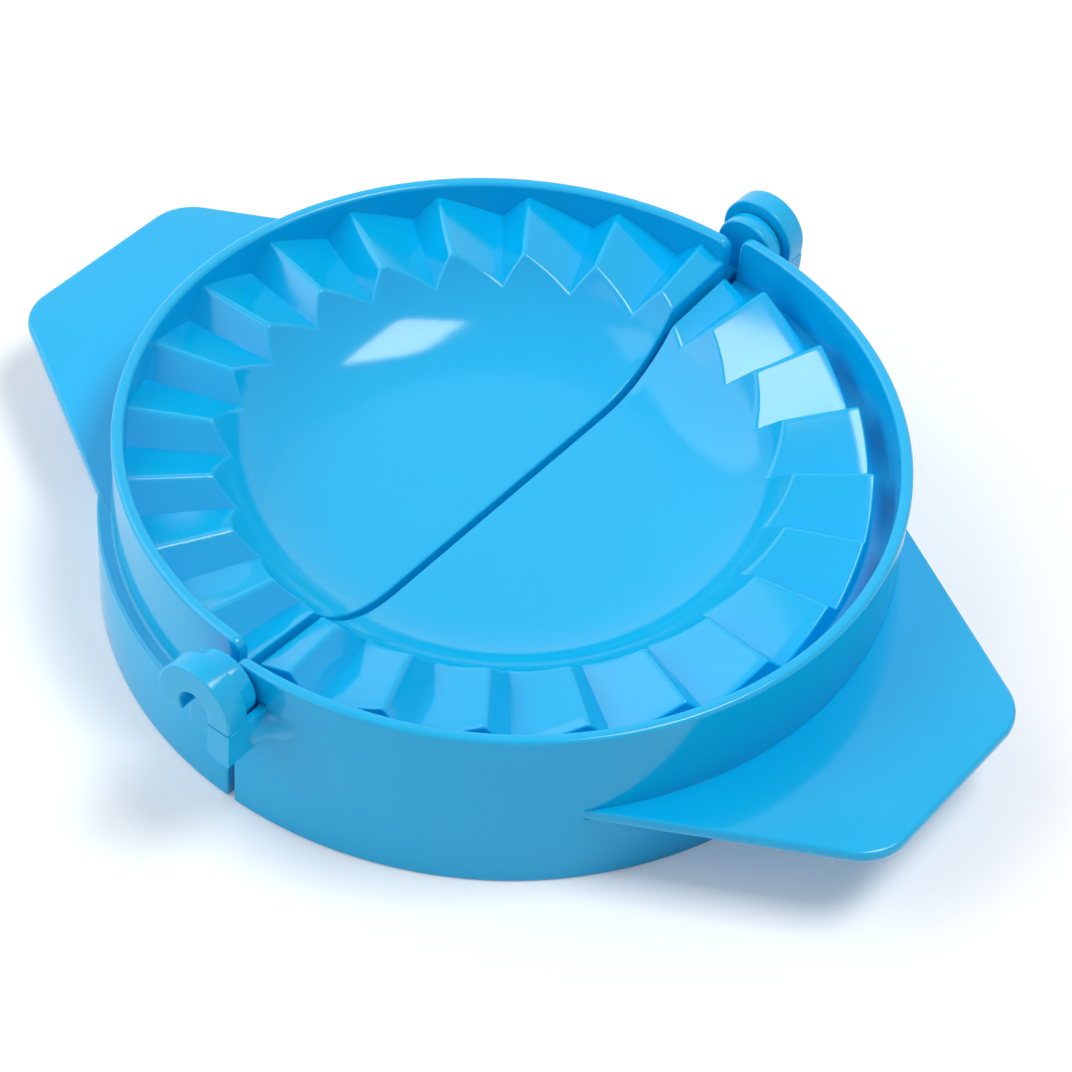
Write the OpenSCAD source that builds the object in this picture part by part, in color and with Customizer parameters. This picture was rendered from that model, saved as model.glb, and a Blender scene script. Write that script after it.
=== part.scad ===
// Empanada press: two moulded half dishes on a snap hinge, lying open and flat on the table.
// X runs across the seam (+X towards the outer half), Y along the hinge axis, Z up from the table.
// The origin is on the table, in the middle of the seam.

/* [Rim] */
// Outer radius of the round press
rim_r = 50.25; // [46:0.25:58]
// Height of both rims above the table
rim_h = 25.2; // [23.5:0.1:30]
// Wall thickness of both mouldings
wall = 1.6; // [1.2:0.1:2]
// Height of the ledge around the inner half and of both handles
ledge_z = 12.6; // [9:0.1:14]
// Gap between the straight edges of the two halves
seam_gap = 0.9; // [0.6:0.1:2.2]
// Clearance beside the inner rim when it nests in the outer one
nest_gap = 0.45; // [0.35:0.05:0.8]
// Radius of the rounded rim corners at the seam
rim_end_r = 1.5; // [0.5:0.1:2.5]

/* [Bowl] */
// Depth of the bowl floor below the crimp crests
bowl_depth = 9.4; // [7:0.1:11]
// Radius of the curve from the floor up to the crimp ring
bowl_curve_r = 17; // [13:0.5:20]
// Depth of the seam lips below the underside of the dish
lip_depth = 2.4; // [1:0.1:4]

/* [Crimp ring] */
// Number of crimp teeth on each half
teeth = 12; // [9:1:15]
// Length of a crest, from the bowl to the rim
crest_l = 10.4; // [8:0.1:12]
// Depth from a crest to a valley
crimp_depth = 3.7; // [2.5:0.1:4.5]
// Angle that the steep side of a tooth takes
steep_deg = 4; // [2:0.5:6]
// Angle from the hinge axis to the first valley of the inner half
first_valley = 9; // [7:0.5:11]
// Depth of the crests' inner ends below the rim
crest_drop = 2.8; // [2:0.1:4]
// Slope of the ring up towards the rim, in degrees
ring_slope = 4.6; // [2:0.1:7]
// Space left for the dough between the closed teeth
dough_t = 3.3; // [2.5:0.1:4.5]

/* [Handles] */
// Reach of a handle beyond the rim
handle_reach = 18.75; // [12:0.25:26]
// Width of a handle at its tip
handle_tip_w = 29.6; // [22:0.2:36]
// Angle of a handle's sides away from its centre line
handle_flare = 29.8; // [15:0.1:32]
// Thickness of a handle
handle_t = 1.66; // [1.2:0.02:3]
// Radius of a handle's two corners
handle_corner_r = 7; // [3:0.5:10]

/* [Hinge] */
// Depth of the hinge axis below the rim
pivot_drop = 3.3; // [2.8:0.1:3.8]
// Radius of the hinge pins
pin_r = 2.03; // [1.6:0.01:2.6]
// Running clearance between a pin and its clip
pin_gap = 0.07; // [0.04:0.01:0.1]
// Depth of a pin's end below the outer face of its clip
pin_recess = 1.8; // [0.5:0.1:2.2]
// Radius of the hub around a pin
hub_r = 4.4; // [3.8:0.1:4.8]
// Thickness of the hub
hub_t = 2.4; // [1.8:0.1:3.2]
// Width of the leg under the hub, from the hinge axis
leg_w = 4.1; // [3:0.1:4.3]
// Height of the leg's foot above the ledge
leg_lift = 0.3; // [0.2:0.1:0.8]
// Radius of the leg's rounded foot
leg_corner_r = 1.3; // [0.5:0.1:1.6]
// Radius of the clip's round head
head_r = 5.4; // [5:0.1:5.8]
// Thickness of the clip
head_t = 3.25; // [2.4:0.05:4]
// Height of the head's centre above the hinge axis
head_lift = 0.5; // [0:0.1:0.8]
// Reach of the hook's tip below the hinge axis
hook_drop = 1.8; // [1.4:0.1:2]
// Narrowing of the notch's mouth, which holds the pin
hook_grip = 0.3; // [0.1:0.05:0.5]
// Depth of the parting step between head and lug below the hinge axis
step_drop = 1.2; // [0.8:0.1:1.6]
// Depth of the lug's foot below the hinge axis
lug_drop = 6.4; // [6:0.1:8]
// Radius of the lug's rounded foot
lug_corner_r = 1.2; // [0.5:0.1:1.6]
// Radius of the fillet between lug and rim
lug_fillet_r = 5; // [2:0.1:6]
// Clearance between parts that pass each other at the hinge
pass_gap = 0.3; // [0.25:0.05:0.5]

/* [Hidden] */

$fn = 96;
INNER = -1;
OUTER = 1;
NEAR = -1;
FAR = 1;
inner_blue = "#2BB0EE";
outer_blue = "#1FA6E8";
eps = 0.01;
reach = rim_r + handle_reach;

// Rims: the inner one nests inside the outer one when the press is folded shut
outer_rim_in = rim_r - wall;
inner_rim_r = outer_rim_in - nest_gap;
inner_rim_in = inner_rim_r - wall;
seam_x = seam_gap / 2;
lip_x = seam_x + wall;
shelf_z = ledge_z - wall;

// Hinge axis, and what must stay below the outer rim once it has turned over
pivot_z = rim_h - pivot_drop;
closed_rim_z = 2 * pivot_z - rim_h;
channel_z = closed_rim_z - nest_gap;

// Crimp ring: height of the valleys, tooth pitch and slope, for either half
pitch = 180 / teeth;
slope = tan(ring_slope);
crest_z = rim_h - crest_drop;
inner_valley_z = crest_z - crimp_depth;
outer_valley_z = 2 * pivot_z - crest_z - dough_t;
inner_valley_a = 90 + first_valley;
outer_valley_a = 90 - first_valley + steep_deg;
outer_teeth_r = inner_rim_in - nest_gap - pass_gap;
ring_samples = 3;
arc_rows = 4;

// Bowl: a flat floor, then a curve that runs up into the crimp ring
floor_z = crest_z - bowl_depth;
curve_z = floor_z + bowl_curve_r;
floor_r = inner_rim_in - crest_l - sqrt(bowl_curve_r ^ 2 - (curve_z - crest_z) ^ 2);
ring_in = curve_r_at(min(inner_valley_z, outer_valley_z), 0) - wall / 2;

// Hinge layers along Y, from the rim outwards
hub_y = rim_r + pass_gap;
hub_front_y = hub_y + hub_t;
clip_y = hub_front_y + pass_gap;
clip_front_y = clip_y + head_t;
notch_r = pin_r + pin_gap;
leg_right = notch_r - pass_gap;

// Radius at which the bowl's curve, or its underside, reaches a height
function curve_r_at(z, under) = floor_r + sqrt((bowl_curve_r + under) ^ 2 - (curve_z - z) ^ 2);

// Height of the bowl's curve, or its underside, at a radius
function curve_z_at(r, under) = curve_z - sqrt((bowl_curve_r + under) ^ 2 - (r - floor_r) ^ 2);

// A ring half is [angle of a valley, height of the valleys, outer radius of the teeth]
inner_ring = [inner_valley_a, inner_valley_z, inner_rim_in];
outer_ring = [outer_valley_a, outer_valley_z, outer_teeth_r];

// Share of the tooth's height at an angle: a long gentle rise, then a short steep drop
function tooth_share(a, ring) =
    let (u = ((a - ring[0]) % pitch + pitch) % pitch)
    u < pitch - steep_deg ? u / (pitch - steep_deg) : (pitch - u) / steep_deg;

function ring_height(a, ring) = ring[1] + crimp_depth * tooth_share(a, ring);

// A column is [angle, 0] in the round, or [x, side along Y] on a plane beside the seam
function column_xy(c, r) = c[1] == 0 ? [r * cos(c[0]), r * sin(c[0])]
    : [c[0], c[1] * sqrt(r ^ 2 - c[0] ^ 2)];
function column_angle(c, r) = c[1] == 0 ? c[0] : atan2(column_xy(c, r).y, column_xy(c, r).x);
function column_point(c, r, z) = [column_xy(c, r).x, column_xy(c, r).y, z];

// Rows of a column: up the bowl's curve to the tooth, then along the tooth to its outer end
function surface_row(c, ring, i, under, end_r) =
    let (h = ring_height(column_angle(c, ring_in), ring) - under,
         bend = curve_r_at(h, under),
         r = i <= arc_rows ? ring_in + (bend - ring_in) * i / arc_rows : end_r,
         z = i <= arc_rows ? curve_z_at(r, under)
             : ring_height(column_angle(c, r), ring) - under + slope * (r - bend))
    column_point(c, r, z);
function surface_rows(c, ring, under, end_r) =
    [for (i = [0 : arc_rows + 1]) surface_row(c, ring, i, under, end_r)];

// Angles of the crests and valleys, with samples between them, clear of the seam
function ring_angles(ring, middle) =
    [for (k = [-teeth : teeth])
        for (s = [0 : ring_samples + 1])
            let (a = ring[0] + k * pitch
                 + (s <= ring_samples ? s * (pitch - steep_deg) / ring_samples : pitch - steep_deg / 2))
            if (abs(a - middle) < 90 - seam_clear_deg) a];
seam_clear_deg = asin(lip_x / ring_in) + 0.5;

// Columns of a whole half ring, from one side of the seam around to the other
function ring_columns(ring, side) =
    let (middle = side == INNER ? 180 : 0,
         first = side == INNER ? FAR : NEAR)
    concat([for (x = [seam_x, lip_x]) [side * x, first]],
           [for (a = ring_angles(ring, middle)) [a, 0]],
           [for (x = [lip_x, seam_x]) [side * x, -first]]);

// Closed skin over loops of points of one length, with both ends closed by listed faces
module skin(loops, end_faces) {
    m = len(loops[0]);
    last = (len(loops) - 1) * m;
    sides = [for (j = [0 : len(loops) - 2])
        for (i = [0 : m - 1])
            let (a = j * m + i, b = j * m + (i + 1) % m)
            each [[a, b + m, b], [a, a + m, b + m]]];
    far_end = [for (f = end_faces) reversed([for (i = f) i + last])];
    polyhedron(points = [for (l = loops) each l], faces = concat(end_faces, sides, far_end));
}

// Faces that close a strip of rows whose loop runs out along the top and back below
function strip_faces(rows, m) = [for (i = [0 : rows - 2]) [i, i + 1, m - 2 - i, m - 1 - i]];

function reversed(l) = [for (i = [len(l) - 1 : -1 : 0]) l[i]];

// Half of the space, on one side of the seam, with the rim's top corner rounded
module half_space(side, corner_r) {
    far = reach + wall;
    mirror([side == INNER ? 1 : 0, 0, 0])
    difference() {
        translate([seam_x, -far, -eps]) cube([far, 2 * far, rim_h + 2 * eps]);
        if (corner_r > 0)
            difference() {
                translate([seam_x - eps, -far - eps, rim_h - corner_r])
                cube([corner_r + eps, 2 * far + 2 * eps, corner_r + 1]);
                translate([seam_x + corner_r, far + 2 * eps, rim_h - corner_r])
                rotate([90, 0, 0])
                cylinder(r = corner_r, h = 2 * far + 4 * eps);
            }
    }
}

// Half ring of rectangular section
module half_ring(side, r_out, r_in, z_low, z_high, corner_r = 0) {
    intersection() {
        translate([0, 0, z_low])
        difference() {
            cylinder(r = r_out, h = z_high - z_low);
            translate([0, 0, -1]) cylinder(r = r_in, h = z_high - z_low + 2);
        }
        half_space(side, corner_r);
    }
}

// Solid of revolution under a bowl surface: floor and curve, out to the crimp ring
module bowl_form(under, extra) {
    rotate_extrude()
    difference() {
        union() {
            translate([0, floor_z - under]) square([floor_r, bowl_depth + extra]);
            intersection() {
                translate([floor_r, curve_z]) circle(r = bowl_curve_r + under);
                translate([floor_r - eps, floor_z - under - 1])
                square([bowl_curve_r * 2, crest_z - floor_z + under + 1]);
            }
        }
        translate([floor_r, crest_z]) square([bowl_curve_r * 2, bowl_curve_r]);
    }
}

// Shell of one half's bowl: the form of its underside less the form of its inside
module half_bowl(side) {
    intersection() {
        difference() {
            bowl_form(wall, 0);
            bowl_form(0, wall);
        }
        translate([0, 0, floor_z - wall - 1]) cylinder(r = ring_in, h = bowl_depth);
        half_space(side, 0);
    }
}

// Crimp ring of the inner half: teeth that run out to the nesting rim
module inner_teeth() {
    loops = [for (c = ring_columns(inner_ring, INNER))
        concat(surface_rows(c, inner_ring, 0, inner_rim_in),
               reversed(surface_rows(c, inner_ring, wall, inner_rim_in)))];
    skin(loops, strip_faces(arc_rows + 2, len(loops[0])));
}

// Crimp ring of the outer half: teeth that end in a skirt down to the channel
module outer_teeth() {
    skirt_in = outer_teeth_r - wall;
    foot_z = channel_z - wall;
    rows = arc_rows + 2;
    loops = [for (c = ring_columns(outer_ring, OUTER))
        let (inner_rows = surface_rows(c, outer_ring, 0, skirt_in),
             rim_row = surface_row(c, outer_ring, rows, 0, outer_teeth_r))
        concat(inner_rows,
               [rim_row, column_point(c, outer_teeth_r, foot_z), column_point(c, skirt_in, foot_z)],
               reversed(surface_rows(c, outer_ring, wall, skirt_in)))];
    ends = concat([for (i = [0 : rows - 2]) [i, i + 1, 2 * rows + 1 - i, 2 * rows + 2 - i]],
                  [[rows + 1, rows + 2, rows + 3, rows - 1, rows]]);
    skin(loops, ends);
}

// Lip that runs down along the seam under the bowl and under both ends of the crimp ring
module seam_lip(side, ring, end_r) {
    intersection() {
        difference() {
            bowl_form(wall + lip_depth, 0);
            bowl_form(wall, wall);
        }
        translate([0, 0, floor_z - wall - lip_depth - 1]) cylinder(r = ring_in + wall / 4, h = rim_h);
        translate([side == INNER ? -lip_x : seam_x, -rim_r, 0]) cube([wall, 2 * rim_r, rim_h]);
    }
    for (end = [NEAR, FAR]) lip_end(side, ring, end, end_r);
}

module lip_end(side, ring, end, end_r) {
    edges = side * end > 0 ? [lip_x, seam_x] : [seam_x, lip_x];
    loops = [for (x = edges)
        let (upper = surface_rows([side * x, end], ring, wall, end_r))
        concat(upper, reversed([for (p = upper) p - [0, 0, lip_depth]]))];
    skin(loops, strip_faces(arc_rows + 2, len(loops[0])));
}

// Handle plate, from the rim to a tip with two round corners
module handle(side) {
    tip_y = handle_tip_w / 2;
    tangent = handle_corner_r * tan(45 - handle_flare / 2);
    corner_y = tip_y - tangent;
    foot_x = (tip_y * cos(handle_flare) + reach * sin(handle_flare)) * sin(handle_flare);
    foot_y = tip_y + (reach - foot_x) * tan(handle_flare);
    side_x = reach - handle_corner_r + handle_corner_r * sin(handle_flare);
    side_y = corner_y + handle_corner_r * cos(handle_flare);
    outline = [[foot_x, -foot_y], [side_x, -side_y], [reach, -corner_y],
               [reach, corner_y], [side_x, side_y], [foot_x, foot_y]];
    mirror([side == INNER ? 1 : 0, 0, 0])
    translate([0, 0, ledge_z - handle_t])
    difference() {
        union() {
            linear_extrude(handle_t) polygon(outline);
            for (y = [-corner_y, corner_y])
                translate([reach - handle_corner_r, y, 0]) cylinder(r = handle_corner_r, h = handle_t);
        }
        translate([0, 0, -1]) cylinder(r = rim_r, h = handle_t + 2, $fn = 192);
    }
}

// Cylinder along Y, in the layer from y to y + t, around the hinge axis raised by lift
module axle(r, y, t, lift = 0) {
    translate([0, y + t, pivot_z + lift]) rotate([90, 0, 0]) cylinder(r = r, h = t);
}

// Block in a layer along Y whose lower corner on the -X side is rounded
module footed_block(low, high, corner_r) {
    size = high - low;
    difference() {
        translate(low) cube(size);
        difference() {
            translate([low.x - 1, low.y - 1, low.z - 1]) cube([corner_r + 1, size.y + 2, corner_r + 1]);
            translate([low.x + corner_r, high.y + 2, low.z + corner_r])
            rotate([90, 0, 0])
            cylinder(r = corner_r, h = size.y + 4);
        }
    }
}

// Everything at the hinge is drawn at the far end and mirrored to the near end
module at_end(end) {
    mirror([0, end == NEAR ? 1 : 0, 0]) children();
}

// Hub of the inner half: a round boss on a leg, carried by a web on the ledge
module hub(end) {
    at_end(end)
    union() {
        axle(hub_r, hub_y, hub_t);
        footed_block([-leg_w, hub_y, ledge_z + leg_lift], [leg_right, hub_front_y, pivot_z], leg_corner_r);
        difference() {
            translate([-leg_w, inner_rim_r - wall, ledge_z])
            cube([leg_w - seam_x, hub_y - inner_rim_r + wall + eps, channel_z - ledge_z]);
            translate([0, 0, ledge_z - 1]) cylinder(r = inner_rim_r, h = rim_h);
        }
    }
}

module pin(end) {
    at_end(end) axle(pin_r, hub_front_y, clip_front_y - hub_front_y - pin_recess);
}

// Clip of the outer half: a head that is round but for its right side, with a notch that snaps over the pin
module clip(end) {
    size = 2 * head_r;
    mouth = notch_r - hook_grip;
    mouth_z = pivot_z - sqrt(notch_r ^ 2 - mouth ^ 2);
    at_end(end)
    difference() {
        union() {
            axle(head_r, clip_y, head_t, head_lift);
            translate([0, clip_y, pivot_z - step_drop]) cube([head_r, head_t, step_drop + head_lift]);
        }
        axle(notch_r, clip_y - 1, head_t + 2);
        translate([-mouth, clip_y - 1, mouth_z - size]) cube([mouth, head_t + 2, size]);
        translate([0, clip_y - 1, pivot_z - size]) cube([notch_r, head_t + 2, size]);
        translate([-size, clip_y - 1, pivot_z - hook_drop - size]) cube([size, head_t + 2, size]);
        translate([0, clip_y - 1, pivot_z - step_drop - size]) cube([size, head_t + 2, size]);
    }
}

// Lug under the clip: it reaches around the hub and is filleted into the rim
module lug(end) {
    fillet_x = head_r + lug_fillet_r;
    fillet_y = sqrt((rim_r + lug_fillet_r) ^ 2 - fillet_x ^ 2);
    meet_x = fillet_x * rim_r / (rim_r + lug_fillet_r);
    low_y = rim_r - lug_fillet_r;
    foot_z = pivot_z - lug_drop;
    top_z = pivot_z - step_drop;
    at_end(end)
    difference() {
        union() {
            footed_block([notch_r, low_y, foot_z], [head_r, clip_front_y, top_z], lug_corner_r);
            translate([head_r - eps, low_y, foot_z])
            cube([meet_x - head_r + eps, fillet_y - low_y, top_z - foot_z]);
        }
        translate([0, 0, foot_z - 1]) cylinder(r = rim_r, h = rim_h);
        translate([fillet_x, fillet_y, foot_z - 1]) cylinder(r = lug_fillet_r, h = rim_h);
        axle(hub_r + pass_gap, low_y - 1, clip_y - low_y + 1);
    }
}

module inner_rim() {
    color(inner_blue) half_ring(INNER, inner_rim_r, inner_rim_in, shelf_z, rim_h, rim_end_r);
}

module inner_ledge() {
    color(inner_blue) half_ring(INNER, rim_r, inner_rim_r, shelf_z, ledge_z);
}

module inner_skirt() {
    color(inner_blue) half_ring(INNER, rim_r, outer_rim_in, 0, shelf_z);
}

module inner_bowl() {
    color(inner_blue) half_bowl(INNER);
}

module inner_crimp_ring() {
    color(inner_blue) inner_teeth();
}

module inner_seam_lip() {
    color(inner_blue) seam_lip(INNER, inner_ring, inner_rim_in);
}

module inner_handle() {
    color(inner_blue) handle(INNER);
}

module outer_rim() {
    color(outer_blue) half_ring(OUTER, rim_r, outer_rim_in, 0, rim_h, rim_end_r);
}

module outer_channel() {
    color(outer_blue) half_ring(OUTER, outer_rim_in, outer_teeth_r, channel_z - wall, channel_z);
}

module outer_bowl() {
    color(outer_blue) half_bowl(OUTER);
}

module outer_crimp_ring() {
    color(outer_blue) outer_teeth();
}

module outer_seam_lip() {
    color(outer_blue) seam_lip(OUTER, outer_ring, outer_teeth_r - wall);
}

module outer_handle() {
    color(outer_blue) handle(OUTER);
}

inner_rim();
inner_ledge();
inner_skirt();
inner_bowl();
inner_crimp_ring();
inner_seam_lip();
inner_handle();
color(inner_blue) hub(NEAR);  // inner_hub_near
color(inner_blue) hub(FAR);  // inner_hub_far
color(inner_blue) pin(NEAR);  // inner_pin_near
color(inner_blue) pin(FAR);  // inner_pin_far
outer_rim();
outer_channel();
outer_bowl();
outer_crimp_ring();
outer_seam_lip();
outer_handle();
color(outer_blue) clip(NEAR);  // outer_clip_near
color(outer_blue) clip(FAR);  // outer_clip_far
color(outer_blue) lug(NEAR);  // outer_lug_near
color(outer_blue) lug(FAR);  // outer_lug_far
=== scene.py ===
"""Looks of an empanada press: two glossy moulded half dishes on a snap hinge, lying open on a table.

Every size is in millimetres, in the part's own frame: the origin is on the table in the middle of the seam,
X crosses the seam, Y runs along the hinge axis and Z is up. Meshes are scaled to metres when they are made.
"""

import logging
import math
from dataclasses import dataclass, field
from enum import Enum

import bmesh
import bpy
import numpy as np
from mathutils import Matrix, Vector


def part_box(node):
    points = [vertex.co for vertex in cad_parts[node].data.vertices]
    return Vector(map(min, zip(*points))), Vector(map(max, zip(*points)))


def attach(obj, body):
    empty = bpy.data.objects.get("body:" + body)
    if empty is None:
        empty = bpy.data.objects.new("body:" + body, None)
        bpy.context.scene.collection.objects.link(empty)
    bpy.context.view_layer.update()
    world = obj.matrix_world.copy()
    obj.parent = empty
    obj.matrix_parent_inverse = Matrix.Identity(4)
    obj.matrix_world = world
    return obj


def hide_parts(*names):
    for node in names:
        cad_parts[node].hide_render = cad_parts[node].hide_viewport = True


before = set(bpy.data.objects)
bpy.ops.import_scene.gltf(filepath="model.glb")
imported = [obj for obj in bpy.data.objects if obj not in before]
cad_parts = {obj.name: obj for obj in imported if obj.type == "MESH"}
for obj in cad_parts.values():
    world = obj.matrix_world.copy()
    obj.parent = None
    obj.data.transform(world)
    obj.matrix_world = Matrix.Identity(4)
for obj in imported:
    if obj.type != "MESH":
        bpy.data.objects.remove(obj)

Array = np.ndarray
LOG = logging.getLogger("empanada_press")
MM = 0.001
HAIR_MM = 0.001
MITRE_LIMIT = 0.3


class Side(Enum):
    """The moulding that a piece belongs to, with the sign of its X."""

    INNER = -1
    OUTER = 1

    @property
    def body(self) -> str:
        """Name of the body that this moulding's pieces ride on."""
        return f"{self.name.lower()}_half"

    @property
    def slot(self) -> str:
        """A name for this moulding's plastic, which the built materials don't use."""
        return f"{self.name.lower()}_half_plastic"

    @property
    def middle_deg(self) -> float:
        """Angle of this half's middle, seen from above."""
        return 180.0 if self is Side.INNER else 0.0

    def node(self, feature: str) -> str:
        """Name of this moulding's frame node for a feature."""
        return f"{self.name.lower()}_{feature}"


class End(Enum):
    """The end of the hinge, with the sign of its Y."""

    NEAR = -1
    FAR = 1


def box_mm(node: str) -> tuple[Array, Array]:
    """Lowest and highest corner of a frame node, in millimetres.

    Args:
        node: the node's name.

    Returns:
        Two arrays of three numbers.
    """
    low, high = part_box(node)
    return np.array(low) / MM, np.array(high) / MM


def smooth_min(a: Array, b: Array, width: Array | float) -> Array:
    """The smaller of two heights, with the corner between them rounded off.

    Where the two differ by less than the width w, a quarter of w times the squared share of w that is left
    comes off the smaller one.

    Args:
        a: first heights.
        b: second heights.
        width: difference over which the corner is rounded.

    Returns:
        The rounded lower envelope.
    """
    left = np.clip(1.0 - np.abs(a - b) / width, 0.0, 1.0)
    return np.minimum(a, b) - width * left**2 / 4.0


def arc(centre: tuple[float, float], radius: float, start: float, stop: float, steps: int = 24) -> Array:
    """Points along a circular arc: the centre plus radius times (cosine, sine) of evenly spaced angles.

    Args:
        centre: the circle's centre.
        radius: its radius.
        start: first angle in degrees.
        stop: last angle in degrees.
        steps: number of equal steps.

    Returns:
        Array of steps + 1 points.
    """
    t = np.radians(np.linspace(start, stop, steps + 1))
    return np.array(centre) + radius * np.stack([np.cos(t), np.sin(t)], axis=1)


def offset_vectors(outline: Array) -> Array:
    """Vectors that move a closed outline's points outwards by one unit, square to both neighbouring edges.

    The outline runs anticlockwise. Each point's vector is the sum of its two edges' unit normals, divided by
    one plus their dot product, which is kept from going under the mitre limit.

    Args:
        outline: points of shape (n, 2).

    Returns:
        Array of the same shape.
    """
    edge = np.roll(outline, -1, axis=0) - outline
    normal = np.stack([edge[:, 1], -edge[:, 0]], axis=1)
    normal /= np.linalg.norm(normal, axis=1, keepdims=True)
    before = np.roll(normal, 1, axis=0)
    dot = np.sum(normal * before, axis=1, keepdims=True)
    return (normal + before) / np.maximum(1.0 + dot, MITRE_LIMIT)


@dataclass(frozen=True)
class PressSizes:
    """Sizes shared by both mouldings. Flat faces are read from the frame; radii and angles are stated."""

    rim_h: float
    ledge_z: float
    shelf_z: float
    seam_x: float
    channel_z: float
    floor_z: float
    reach: float
    handle_z: tuple[float, float]
    pivot_z: float
    hub_y: tuple[float, float]
    clip_y: tuple[float, float]
    pin_end_y: float
    lug_z: tuple[float, float]
    rim_r: float = 50.25
    wall: float = 1.6
    nest_gap: float = 0.45
    pass_gap: float = 0.3
    bowl_depth: float = 9.4
    bowl_curve_r: float = 17.0
    lip_depth: float = 2.4
    teeth: int = 12
    crest_l: float = 10.4
    crimp_depth: float = 3.7
    steep_deg: float = 4.0
    first_valley: float = 9.0
    ring_slope: float = 4.6
    dough_t: float = 3.3

    @classmethod
    def from_frame(cls) -> "PressSizes":
        """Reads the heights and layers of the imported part."""
        outer_low, outer_high = box_mm("outer_rim")
        bowl_low, _ = box_mm("inner_bowl")
        handle_low, handle_high = box_mm("outer_handle")
        pin_low, pin_high = box_mm("inner_pin_far")
        _, hub_high = box_mm("inner_hub_far")
        clip_low, clip_high = box_mm("outer_clip_far")
        lug_low, lug_high = box_mm("outer_lug_far")
        return cls(
            rim_h=outer_high[2],
            ledge_z=box_mm("inner_ledge")[1][2],
            shelf_z=box_mm("inner_skirt")[1][2],
            seam_x=outer_low[0],
            channel_z=box_mm("outer_channel")[1][2],
            floor_z=bowl_low[2] + cls.wall,
            reach=handle_high[0],
            handle_z=(handle_low[2], handle_high[2]),
            pivot_z=(pin_low[2] + pin_high[2]) / 2,
            hub_y=(cls.rim_r + cls.pass_gap, hub_high[1]),
            clip_y=(clip_low[1], clip_high[1]),
            pin_end_y=pin_high[1],
            lug_z=(lug_low[2], lug_high[2]),
        )

    @property
    def outer_rim_in(self) -> float:
        """Inner radius of the outer rim."""
        return self.rim_r - self.wall

    @property
    def inner_rim_r(self) -> float:
        """Outer radius of the nesting rim."""
        return self.outer_rim_in - self.nest_gap

    @property
    def inner_rim_in(self) -> float:
        """Inner radius of the nesting rim."""
        return self.inner_rim_r - self.wall

    @property
    def crest_z(self) -> float:
        """Height of the crests' inner ends."""
        return self.floor_z + self.bowl_depth

    @property
    def curve_z(self) -> float:
        """Height of the centre of the bowl's curve."""
        return self.floor_z + self.bowl_curve_r

    @property
    def floor_r(self) -> float:
        """Radius of the flat floor of the bowl."""
        run = math.sqrt(self.bowl_curve_r**2 - (self.curve_z - self.crest_z) ** 2)
        return self.inner_rim_in - self.crest_l - run

    @property
    def lip_x(self) -> float:
        """Inner plane of the lip along the seam."""
        return self.seam_x + self.wall

    @property
    def pitch(self) -> float:
        """Angle that one tooth takes."""
        return 180.0 / self.teeth


@dataclass(frozen=True)
class PolypropyleneFinish:
    """Polypropylene, injection moulded in a polished mould: bright gloss over a slightly milky body.

    The eye gets soft-edged reflections of the lamps, a faint waviness where the wall shrank as it cooled,
    and a slow drift in tone where the melt flowed.
    """

    name: str
    body_hex: str = "#00B4E8"
    flow_hex: str = "#00ADE5"
    ior: float = 1.49
    specular: float = 0.38
    roughness: tuple[float, float] = (0.10, 0.15)
    shrink_wave_mm: float = 14.0
    shrink_height_mm: float = 0.012
    grain_mm: float = 0.9
    grain_height_mm: float = 0.0006
    flow_mm: float = 32.0
    scatter: float = 0.15
    scatter_mm: float = 1.4
    scatter_colour: tuple[float, float, float] = (0.2, 0.7, 1.0)

    def build(self) -> bpy.types.Material:
        """Makes the material.

        Returns:
            The new material.
        """
        material = bpy.data.materials.new(self.name)
        material.use_nodes = True
        tree = material.node_tree
        shader = tree.nodes["Principled BSDF"]
        place = add_node(tree, "ShaderNodeTexCoord")
        flow = add_node(tree, "ShaderNodeTexNoise", {"Scale": 1 / (self.flow_mm * MM), "Detail": 2.0},
                        {"Vector": place.outputs["Object"]})
        tone = add_node(tree, "ShaderNodeMix", {"data_type": "RGBA", "A": linear(self.body_hex),
                                                "B": linear(self.flow_hex)},
                        {"Factor": flow.outputs["Fac"]})
        low, high = self.roughness
        gloss = add_node(tree, "ShaderNodeMapRange", {"To Min": low, "To Max": high},
                         {"Value": flow.outputs["Fac"]})
        wave = add_node(tree, "ShaderNodeTexNoise", {"Scale": 1 / (self.shrink_wave_mm * MM), "Detail": 1.0},
                        {"Vector": place.outputs["Object"]})
        grain = add_node(tree, "ShaderNodeTexNoise", {"Scale": 1 / (self.grain_mm * MM), "Detail": 2.0},
                         {"Vector": place.outputs["Object"]})
        shrink = add_node(tree, "ShaderNodeBump", {"Strength": 1.0, "Distance": self.shrink_height_mm * MM},
                          {"Height": wave.outputs["Fac"]})
        skin = add_node(tree, "ShaderNodeBump", {"Strength": 1.0, "Distance": self.grain_height_mm * MM},
                        {"Height": grain.outputs["Fac"], "Normal": shrink.outputs["Normal"]})
        shader.inputs["IOR"].default_value = self.ior
        shader.inputs["Specular IOR Level"].default_value = self.specular
        shader.inputs["Subsurface Weight"].default_value = self.scatter
        shader.inputs["Subsurface Radius"].default_value = self.scatter_colour
        shader.inputs["Subsurface Scale"].default_value = self.scatter_mm * MM
        tree.links.new(tone.outputs["Result"], shader.inputs["Base Color"])
        tree.links.new(gloss.outputs["Result"], shader.inputs["Roughness"])
        tree.links.new(skin.outputs["Normal"], shader.inputs["Normal"])
        return material


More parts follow.
